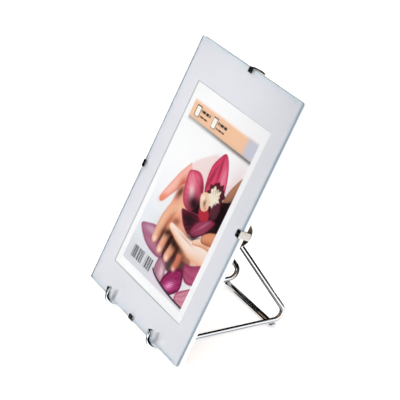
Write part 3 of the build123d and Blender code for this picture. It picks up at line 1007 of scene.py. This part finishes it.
# ------------------------------------------------------------------ the spring clips
def clip_surface(sizes, board_back):
    """Middle surface of one clip as two joined grids, in the clip's own space (x, d, n).

    x runs along the pane's edge, d back through the pane and n out of the edge. The strip
    is as wide as the lip: flat lip, quarter-circle fold, flat web, and a second fold at
    the leaf's crown. The leaf is the arc d = c + R cos(p), x = R sin(p), carried along n,
    with a notch each side of the strip.
    """
    half_sheet = sizes.sheet / 2
    rise, half_span = sizes.leaf_rise, sizes.leaf_span / 2
    outer = (half_span**2 + rise**2) / (2 * rise)
    arc_radius = outer - half_sheet
    arc_middle = board_back + rise - outer
    fold = sizes.bend_radius - half_sheet
    lip_d, web_n = -sizes.gap - half_sheet, sizes.gap + half_sheet
    clear = 0.02 * MM  # the leaf's feet stay this far off the board
    notch_width, notch_drop = 0.6 * MM, 0.05 * MM
    arc_end = math.acos((board_back + clear - arc_middle) / (arc_radius - half_sheet))

    strip_x = np.linspace(-1, 1, 15) * sizes.width / 2
    strip_p = np.arcsin(strip_x / arc_radius)
    notch_p = np.linspace(strip_p[-1], strip_p[-1] + notch_width / arc_radius, 7)[1:]
    outer_p = np.linspace(notch_p[-1], arc_end, 16)[1:]
    side_p = np.concatenate([notch_p, outer_p])
    p = np.concatenate([-side_p[::-1], strip_p, side_p])

    # The leaf: rows from its top edge, which drops to the fold between the notches.
    along = arc_radius * np.abs(p)
    notch = np.clip((along - arc_radius * strip_p[-1]) / notch_width, 0, 1)
    corner = sizes.leaf_corner
    past = np.clip(along - (arc_radius * arc_end - corner), 0, corner)
    rounding = corner - np.sqrt(corner**2 - past**2)
    top = -fold + web_n + (fold + notch_drop) * smooth_step(notch) - rounding
    bottom = -sizes.leaf_length + rounding
    t = np.linspace(0, 1, 25)[:, None]
    leaf_n = top + (bottom - top) * t
    leaf = np.stack(
        np.broadcast_arrays(arc_radius * np.sin(p), arc_middle + arc_radius * np.cos(p), leaf_n),
        axis=-1,
    )

    # The strip: its own (d, n) line for each column, because the crown is arched.
    crown_d = arc_middle + arc_radius * np.cos(strip_p)
    q = np.linspace(0, np.pi / 2, 9)[:, None]
    tip_corner = sizes.lip_corner
    tip = np.linspace(0, 1, 8)[:, None] ** 2 * tip_corner
    lip_n = np.vstack([-sizes.lip_reach + tip, [[-sizes.lip_reach / 2]]])
    narrow = tip_corner - np.sqrt(tip_corner**2 - (tip_corner - tip) ** 2)
    wide = np.vstack([1 - narrow / (sizes.width / 2), [[1.0]]])
    ones = np.ones((1, len(strip_x)))
    rows_d = np.vstack([
        np.full((len(lip_n), 1), lip_d) * ones,
        (lip_d + fold * (1 - np.cos(q))) * ones,
        lip_d + fold + (crown_d - fold - lip_d - fold) * np.linspace(0, 1, 8)[1:-1, None],
        crown_d - fold + fold * np.sin(q),
    ])
    rows_n = np.vstack([
        lip_n,
        web_n - fold + fold * np.sin(q),
        np.full((6, 1), web_n),
        web_n - fold + fold * np.cos(q),
    ])
    wide = np.vstack([wide, np.ones((len(rows_n) - len(wide), 1))])
    strip = np.stack(np.broadcast_arrays(strip_x * wide, rows_d, rows_n), axis=-1)
    return strip, leaf


def nickel_spring_steel(colour):
    """Nickel-plated spring steel.

    Rolled strip, so fine lines run along it from the lip to the leaf, and the thin warm
    plate varies a little in tone in soft patches.
    """
    material, tree = new_material("nickel_plated_spring_steel")
    strip = add(tree, "ShaderNodeUVMap", uv_map="strip").outputs["UV"]
    # Roll lines are about 0.03 mm apart, drawn here at 0.2 mm so that they show.
    lines_at = add(
        tree, "ShaderNodeMapping",
        {"Vector": strip, "Scale": (per_metre(0.2), per_metre(9), 1.0)},
    ).outputs[0]
    lines = add(tree, "ShaderNodeTexNoise", {"Vector": lines_at, "Scale": 1.0, "Detail": 3.0})
    cloud = add(tree, "ShaderNodeTexNoise", {"Vector": strip, "Scale": per_metre(3), "Detail": 2.0})
    tint = add(
        tree, "ShaderNodeMix",
        {0: cloud.outputs[0], 6: rgba(colour), 7: rgba(linear("#BDB8B0"))},
        data_type="RGBA",
    )
    finish_grained(
        tree, lines.outputs[0], (0.13, 0.3), 0.35, 0.01,
        {"Base Color": tint.outputs[2], "Metallic": 1.0}, grain=(0.3, 0.7),
    )
    return material


class CLIPFRAME_OT_fold_clips(bpy.types.Operator):
    """Fold the four spring clips, one near the middle of each edge"""

    bl_idname = "clipframe.fold_clips"
    bl_label = "Spring Clips"

    def execute(self, context):
        sizes = context.scene.clip_frame_clips
        sheets = context.scene.clip_frame_sheets
        pane = Pane(sheets)
        steel = nickel_spring_steel(context.scene.clip_frame_finishes.spring_steel)
        strip, leaf = clip_surface(sizes, sheets.board_back)
        points = np.vstack([strip.reshape(-1, 3), leaf.reshape(-1, 3)])
        faces = np.vstack([
            grid_faces(*strip.shape[:2]),
            grid_faces(*leaf.shape[:2], first=strip.shape[0] * strip.shape[1]),
        ])
        x, d, n = points.T
        half_width, middle = sheets.width / 2, sheets.height / 2
        edge_round, merge_distance = 0.07 * MM, 0.001 * MM
        edges = {
            "top": (sizes.top_shift, sheets.height, 0.0),
            "bottom": (sizes.bottom_shift, 0.0, math.pi),
            "left": (-half_width, middle + sizes.left_shift, -math.pi / 2),
            "right": (half_width, middle + sizes.right_shift, math.pi / 2),
        }
        for side, (edge_x, edge_v, turn) in edges.items():
            name = f"folded_clip_{side}"
            world = pane.place(
                edge_x + x * math.cos(turn) + n * math.sin(turn),
                d,
                edge_v - x * math.sin(turn) + n * math.cos(turn),
            )
            mesh = bpy.data.meshes.new(name)
            mesh.from_pydata(world.tolist(), [], faces.tolist())
            corners = np.zeros(len(mesh.loops), np.int32)
            mesh.loops.foreach_get("vertex_index", corners)
            layer = mesh.uv_layers.new(name="strip")
            layer.data.foreach_set("uv", np.stack([x, n + d], axis=-1)[corners].ravel())
            joined = bmesh.new()
            joined.from_mesh(mesh)
            bmesh.ops.remove_doubles(joined, verts=joined.verts, dist=merge_distance)
            joined.to_mesh(mesh)
            joined.free()
            mesh.shade_smooth()
            piece = make_piece(name, mesh, [steel], f"{side}_clip", [f"clip_{side}"])
            solid = piece.modifiers.new("steel", "SOLIDIFY")
            solid.thickness, solid.offset, solid.use_even_offset = sizes.sheet, 0.0, True
            edge = piece.modifiers.new("edge", "BEVEL")
            edge.width, edge.segments, edge.limit_method = edge_round, 2, "ANGLE"
            edge.angle_limit = math.radians(50)
        return {"FINISHED"}


# ------------------------------------------------------------------ CAD parts that stay
def mat_card(finishes, pane, sizes):
    """Smooth mat card.

    Matt coloured face paper over a pulp core. The opening's bevelled cut edge is painted a
    darker grey, painted shade on the bevel, and a little blue light from the glass's edge
    is painted on the rim of the card.
    """
    material, tree = new_material("smooth_mat_card")
    across, _, up = pane_coordinates(tree, pane)

    def past(half_width, middle, half_height):
        """How far a point lies outside a rectangle, the larger of past |x| and past |v|."""
        sides = []
        for value, centre, half in ((across, 0.0, half_width), (up, middle, half_height)):
            moved = add(tree, "ShaderNodeMath", {0: value, 1: centre}, operation="SUBTRACT").outputs[0]
            size = add(tree, "ShaderNodeMath", {0: moved}, operation="ABSOLUTE").outputs[0]
            sides.append(
                add(tree, "ShaderNodeMath", {0: size, 1: half}, operation="SUBTRACT").outputs[0]
            )
        return add(tree, "ShaderNodeMath", {0: sides[0], 1: sides[1]}, operation="MAXIMUM").outputs[0]

    window_middle = sizes.height / 2 - sizes.window_drop
    from_window = past(sizes.window_width / 2, window_middle, sizes.window_height / 2)
    from_rim = past(sizes.width / 2, sizes.height / 2, sizes.height / 2)
    at = add(tree, "ShaderNodeTexCoord").outputs["Object"]
    # Calendered card has a grain of about 0.5 mm, and slow clouds about 25 mm across.
    grain = add(tree, "ShaderNodeTexNoise", {"Vector": at, "Scale": per_metre(0.5), "Detail": 3.0})
    cloud = add(tree, "ShaderNodeTexNoise", {"Vector": at, "Scale": per_metre(25)})
    face = add(
        tree, "ShaderNodeMix",
        {0: cloud.outputs[0], 6: rgba(finishes.mat_card), 7: rgba(linear("#E4E5EA"))},
        data_type="RGBA",
    )
    # Painted light: a pale blue glow painted on the card's face near its rim, where the glass's edge would
    # light it.
    painted_rim_glow = add(
        tree, "ShaderNodeMapRange",
        {"Value": from_rim, "From Min": -4.5 * MM, "From Max": -1.0 * MM, "To Min": 0.0, "To Max": 0.6},
    )
    face = add(
        tree, "ShaderNodeMix",
        {0: painted_rim_glow.outputs[0], 6: face.outputs[2], 7: rgba(linear("#D6E2EA"))},
        data_type="RGBA",
    )
    # Painted shade: the bevelled cut edge round the opening is coloured darker grey for its shade.
    core = add(
        tree, "ShaderNodeMapRange",
        {"Value": from_window, "From Min": sizes.mat_thickness,
         "From Max": sizes.mat_thickness + 0.05 * MM, "To Min": 1.0, "To Max": 0.0},
    )
    coloured = add(
        tree, "ShaderNodeMix",
        {0: core.outputs[0], 6: face.outputs[2], 7: rgba(finishes.mat_bevel_shade)},
        data_type="RGBA",
    )
    finish_grained(
        tree, grain.outputs[0], (0.7, 0.9), 0.25, 0.02,
        {"Base Color": coloured.outputs[2], "Specular IOR Level": 0.3},
    )
    return material


def white_fibreboard(finishes, pane):
    """Fibreboard with a white primed face and edge, and a raw brown back.

    Pressed wood fibre under a thin white coat: matt, with fine flecks and short fibres
    that stand slightly proud. The back has no coat.
    """
    material, tree = new_material("white_primed_fibreboard")
    at = add(tree, "ShaderNodeTexCoord").outputs["Object"]
    # Fibres are about 0.2 mm wide and 3 mm long, drawn here 0.4 mm wide.
    fibre_at = add(
        tree, "ShaderNodeMapping",
        {"Vector": at, "Scale": (per_metre(3.0), per_metre(0.4), per_metre(0.4))},
    ).outputs[0]
    fibres = add(
        tree, "ShaderNodeTexNoise",
        {"Vector": fibre_at, "Scale": 1.0, "Detail": 4.0, "Distortion": 1.2},
    )
    flecks = add(tree, "ShaderNodeTexNoise", {"Vector": at, "Scale": per_metre(1.1), "Detail": 2.0})
    tone = add(
        tree, "ShaderNodeValToRGB", {"Fac": fibres.outputs[0]},
        stops=[(0.3, linear("#E2E0DA")), (0.5, finishes.board), (0.75, linear("#F8F9F9"))],
    )
    fleck = add(
        tree, "ShaderNodeMapRange",
        {"Value": flecks.outputs[0], "From Min": 0.66, "From Max": 0.74, "To Min": 0.0, "To Max": 0.35},
    )
    coloured = add(
        tree, "ShaderNodeMix",
        {0: fleck.outputs[0], 6: tone.outputs[0], 7: rgba(linear("#CDBFA6"))},
        data_type="RGBA",
    )
    raw = add(
        tree, "ShaderNodeValToRGB", {"Fac": fibres.outputs[0]},
        stops=[(0.3, linear("#6E5238")), (0.5, linear("#8A6A49")), (0.75, linear("#A58562"))],
    )
    facing_back = add(
        tree, "ShaderNodeVectorMath",
        {0: add(tree, "ShaderNodeTexCoord").outputs["Normal"], 1: pane.back_normal},
        operation="DOT_PRODUCT",
    ).outputs["Value"]
    on_back = add(
        tree, "ShaderNodeMapRange", {"Value": facing_back, "From Min": 0.85, "From Max": 0.95}
    )
    shown = add(
        tree, "ShaderNodeMix",
        {0: on_back.outputs[0], 6: coloured.outputs[2], 7: raw.outputs[0]},
        data_type="RGBA",
    )
    finish_grained(tree, fibres.outputs[0], (0.6, 0.85), 0.3, 0.05, {"Base Color": shown.outputs[2]})
    return material


def zinc_plate(finishes):
    """Zinc-plated pressed steel.

    Blue-grey passivated zinc: soft mirror, faint patches of yellow and blue, and slightly
    rougher where the press rubbed it.
    """
    material, tree = new_material("blue_zinc_plated_steel")
    at = add(tree, "ShaderNodeTexCoord").outputs["Object"]
    patches = add(tree, "ShaderNodeTexNoise", {"Vector": at, "Scale": per_metre(4), "Detail": 2.0})
    scuffs = add(tree, "ShaderNodeTexNoise", {"Vector": at, "Scale": per_metre(0.7), "Detail": 3.0})
    tint = add(
        tree, "ShaderNodeValToRGB", {"Fac": patches.outputs[0]},
        stops=[(0.3, linear("#A9B4C0")), (0.5, finishes.zinc), (0.7, linear("#C6C2B4"))],
    )
    finish_grained(
        tree, scuffs.outputs[0], (0.28, 0.5), 0.2, 0.02,
        {"Base Color": tint.outputs[0], "Metallic": 1.0},
    )
    return material


class CLIPFRAME_OT_finish_cad_parts(bpy.types.Operator):
    """Give the mat, the backboard and the wall hangers their finishes"""

    bl_idname = "clipframe.finish_cad_parts"
    bl_label = "Mat, Board and Hangers"

    def execute(self, context):
        sizes = context.scene.clip_frame_sheets
        finishes = context.scene.clip_frame_finishes
        pane = Pane(sizes)
        zinc = zinc_plate(finishes)
        chosen = {
            "mat_board": mat_card(finishes, pane, sizes),
            "backboard": white_fibreboard(finishes, pane),
            "hanger_portrait": zinc,
            "hanger_landscape": zinc,
        }
        for node, material in chosen.items():
            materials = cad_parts[node].data.materials
            materials.clear()
            materials.append(material)
        return {"FINISHED"}


# ------------------------------------------------------------------ the stage
def mirrored_rays(tree):
    """1 for a ray that polished metal or glass sends on, and 0 for the rest.

    A ray that first met a matt surface counts as the rest, so what lies behind the glass
    is lit by the plain studio.
    """
    rays = add(tree, "ShaderNodeLightPath")
    before_matt = add(
        tree, "ShaderNodeMath", {0: rays.outputs["Diffuse Depth"], 1: 0.5},
        operation="LESS_THAN",
    )
    return add(
        tree, "ShaderNodeMath", {0: rays.outputs["Is Glossy Ray"], 1: before_matt.outputs[0]},
        operation="MULTIPLY",
    ).outputs[0]


def white_floor(colour, glow):
    """Matt white acrylic light table, with a barely seen mottle about 60 mm across.

    It glows a little from below, so shadows on it stay pale. Only polished metal and glass
    mirror it as black cards, all but a strip beside each runner, the table's right side,
    and a strip in front of the hooks. Those places were chosen for this camera, and
    give the wire its dark and bright bands.
    """
    material, tree = new_material("white_acrylic_light_table")
    at = add(tree, "ShaderNodeTexCoord").outputs["Object"]
    mottle = add(tree, "ShaderNodeTexNoise", {"Vector": at, "Scale": per_metre(60)})
    tone = add(
        tree, "ShaderNodeMix",
        {0: mottle.outputs[0], 6: rgba(colour), 7: rgba(linear("#F4F4F5"))},
        data_type="RGBA",
    )
    place = add(tree, "ShaderNodeSeparateXYZ", {"Vector": at})
    x, y = place.outputs["X"], place.outputs["Y"]
    # x + 0.87 y rises along a line that crosses the table at 49 degrees.
    slant = add(tree, "ShaderNodeMath", {0: y, 1: 0.87, 2: x}, operation="MULTIPLY_ADD").outputs[0]

    def between(value, low, high, soft=2.0):
        """1 between two places in millimetres, 0 outside them, with a soft edge."""
        middle, half = (low + high) / 2 * MM, (high - low) / 2 * MM
        moved = add(tree, "ShaderNodeMath", {0: value, 1: middle}, operation="SUBTRACT").outputs[0]
        apart = add(tree, "ShaderNodeMath", {0: moved}, operation="ABSOLUTE").outputs[0]
        return add(
            tree, "ShaderNodeMapRange",
            {"Value": apart, "From Min": half, "From Max": half + soft * MM,
             "To Min": 1.0, "To Max": 0.0},
        ).outputs[0]

    def combine(areas, operation):
        """One area out of several: their product where all hold, their maximum where any does."""
        whole = areas[0]
        for area in areas[1:]:
            whole = add(tree, "ShaderNodeMath", {0: whole, 1: area}, operation=operation).outputs[0]
        return whole

    table_end = 900
    beside_right = between(x, 30, 37)
    beside_left = between(x, -32, -23)
    right_side = combine(
        [between(slant, 88, table_end), between(x, 27, table_end), between(y, -60, 100, 15)],
        "MULTIPLY",
    )
    before_hooks = combine([between(y, -128, -92), between(x, -20, 120)], "MULTIPLY")
    lit = combine([beside_right, beside_left, right_side, before_hooks], "MAXIMUM")
    carded = add(
        tree, "ShaderNodeMix",
        {0: lit, 6: rgba(linear(BLACK_CARD)), 7: tone.outputs[2]},
        data_type="RGBA",
    )
    shown = add(
        tree, "ShaderNodeMix",
        {0: mirrored_rays(tree), 6: tone.outputs[2], 7: carded.outputs[2]},
        data_type="RGBA",
    )
    shader = add(
        tree, "ShaderNodeBsdfPrincipled",
        {"Base Color": shown.outputs[2], "Roughness": 0.9, "Specular IOR Level": 0.0,
         "Emission Color": shown.outputs[2], "Emission Strength": glow},
    )
    finish_material(tree, shader.outputs[0])
    return material


def studio_world(strength):
    """Soft light all round, with one white wall that polished metal and glass mirror.

    The wall stands behind the object on its right. The rest of the studio is dark in
    mirrored rays, so bent wire shows a white band between dark ones.
    """
    world = bpy.data.worlds.new("studio")
    world.use_nodes = True
    tree = world.node_tree
    tree.nodes.clear()
    direction = add(tree, "ShaderNodeTexCoord").outputs["Generated"]
    height = add(tree, "ShaderNodeSeparateXYZ", {"Vector": direction}).outputs["Z"]
    soft = add(
        tree, "ShaderNodeValToRGB", {"Fac": height},
        stops=[(0.0, linear("#D8DADD")), (0.3, linear("#F4F5F7")), (1.0, linear("#FFFFFF"))],
    )
    towards_wall = (0.906, 0.423, 0.0)
    to_wall = add(
        tree, "ShaderNodeVectorMath", {0: direction, 1: towards_wall},
        operation="DOT_PRODUCT",
    ).outputs["Value"]
    wall = add(
        tree, "ShaderNodeValToRGB", {"Fac": to_wall},
        stops=[
            (0.0, linear(BLACK_CARD)),
            (0.5, linear("#08090B")),
            (0.58, linear("#FFFFFF")),
            (1.0, linear("#FFFFFF")),
        ],
    )
    overhead = add(tree, "ShaderNodeMapRange", {"Value": height, "From Min": 0.76, "From Max": 0.86})
    wall = add(
        tree, "ShaderNodeMix",
        {0: overhead.outputs[0], 6: wall.outputs[0], 7: rgba(linear(BLACK_CARD))},
        data_type="RGBA",
    )
    mirrored = add(
        tree, "ShaderNodeMix",
        {0: mirrored_rays(tree), 6: soft.outputs[0], 7: wall.outputs[2]},
        data_type="RGBA",
    )
    seen = add(tree, "ShaderNodeLightPath").outputs["Is Camera Ray"]
    shown = add(
        tree, "ShaderNodeMix",
        {0: seen, 6: mirrored.outputs[2], 7: rgba(linear("#F6F6F7"))},
        data_type="RGBA",
    )
    light = add(tree, "ShaderNodeBackground", {"Color": shown.outputs[2], "Strength": strength})
    add(tree, "ShaderNodeOutputWorld", {"Surface": light.outputs[0]})
    return world


class CLIPFRAME_OT_set_stage(bpy.types.Operator):
    """Lay the floor, light it softly and aim the camera"""

    bl_idname = "clipframe.set_stage"
    bl_label = "Stage"

    def execute(self, context):
        scene = context.scene
        stage = scene.clip_frame_stage
        scene.view_settings.view_transform = "Standard"
        scene.world = studio_world(stage.sky_strength)

        side = np.linspace(-stage.floor_half, stage.floor_half, 9)
        floor_z = cad_box[0].z
        x, y = np.meshgrid(side, side)
        grid = np.stack([x, y, np.full_like(x, floor_z)], axis=-1)
        mesh = bpy.data.meshes.new("floor")
        mesh.from_pydata(grid.reshape(-1, 3).tolist(), [], grid_faces(9, 9).tolist())
        mesh.materials.append(white_floor(stage.floor, stage.floor_glow))
        floor = bpy.data.objects.new("floor", mesh)
        scene.collection.objects.link(floor)

        key_data = bpy.data.lights.new("key", "AREA")
        key_data.shape, key_data.size = "DISK", stage.key_size
        key_data.energy = stage.key_power
        key = bpy.data.objects.new("key", key_data)
        key.location = stage.key_place
        key.rotation_euler = (-Vector(key.location)).to_track_quat("-Z", "Y").to_euler()
        key.visible_glossy = False  # polished metal mirrors the white wall, not the lamp
        scene.collection.objects.link(key)

        az, el = stage.camera_azimuth, stage.camera_elevation
        back = Vector((math.sin(az) * math.cos(el), -math.cos(az) * math.cos(el), math.sin(el)))
        camera_data = bpy.data.cameras.new("camera")
        camera_data.lens, camera_data.sensor_width = stage.focal_length, 36.0
        camera = bpy.data.objects.new("camera", camera_data)
        camera.rotation_mode = "QUATERNION"
        camera.location = Vector(stage.camera_aim) + back * stage.camera_distance
        level = (-back).to_track_quat("-Z", "Y")
        roll = Matrix.Rotation(stage.camera_roll, 3, "Z").to_quaternion()
        camera.rotation_quaternion = level @ roll
        scene.collection.objects.link(camera)
        scene.camera = camera
        return {"FINISHED"}


# ------------------------------------------------------------------ the add-on
STEPS = (
    CLIPFRAME_OT_set_stage,
    CLIPFRAME_OT_bend_easel,
    CLIPFRAME_OT_cut_glass,
    CLIPFRAME_OT_print_picture,
    CLIPFRAME_OT_fold_clips,
    CLIPFRAME_OT_finish_cad_parts,
)

SIZES = {
    "clip_frame_easel": ClipFrameEaselSizes,
    "clip_frame_sheets": ClipFrameSheetSizes,
    "clip_frame_clips": ClipFrameClipSizes,
    "clip_frame_finishes": ClipFrameFinishes,
    "clip_frame_stage": ClipFrameStage,
}


class CLIPFRAME_PT_sidebar(bpy.types.Panel):
    """Sizes, finishes and steps of the clip frame"""

    bl_idname = "CLIPFRAME_PT_sidebar"
    bl_label = "Clip Frame"
    bl_space_type = "VIEW_3D"
    bl_region_type = "UI"
    bl_category = "Clip Frame"

    def draw(self, context):
        for step in STEPS:
            self.layout.operator(step.bl_idname)
        for name, group in SIZES.items():
            box = self.layout.box()
            for key in group.__annotations__:
                box.prop(getattr(context.scene, name), key)


def register():
    for group in (*SIZES.values(), *STEPS, CLIPFRAME_PT_sidebar):
        bpy.utils.register_class(group)
    for name, group in SIZES.items():
        setattr(bpy.types.Scene, name, PointerProperty(type=group))


def unregister():
    for name in SIZES:
        delattr(bpy.types.Scene, name)
    for group in (CLIPFRAME_PT_sidebar, *reversed(STEPS), *reversed(SIZES.values())):
        bpy.utils.unregister_class(group)


def main():
    register()
    for step in STEPS:
        group, operator = step.bl_idname.split(".")
        getattr(getattr(bpy.ops, group), operator)()


if __name__ == "__main__":
    main()
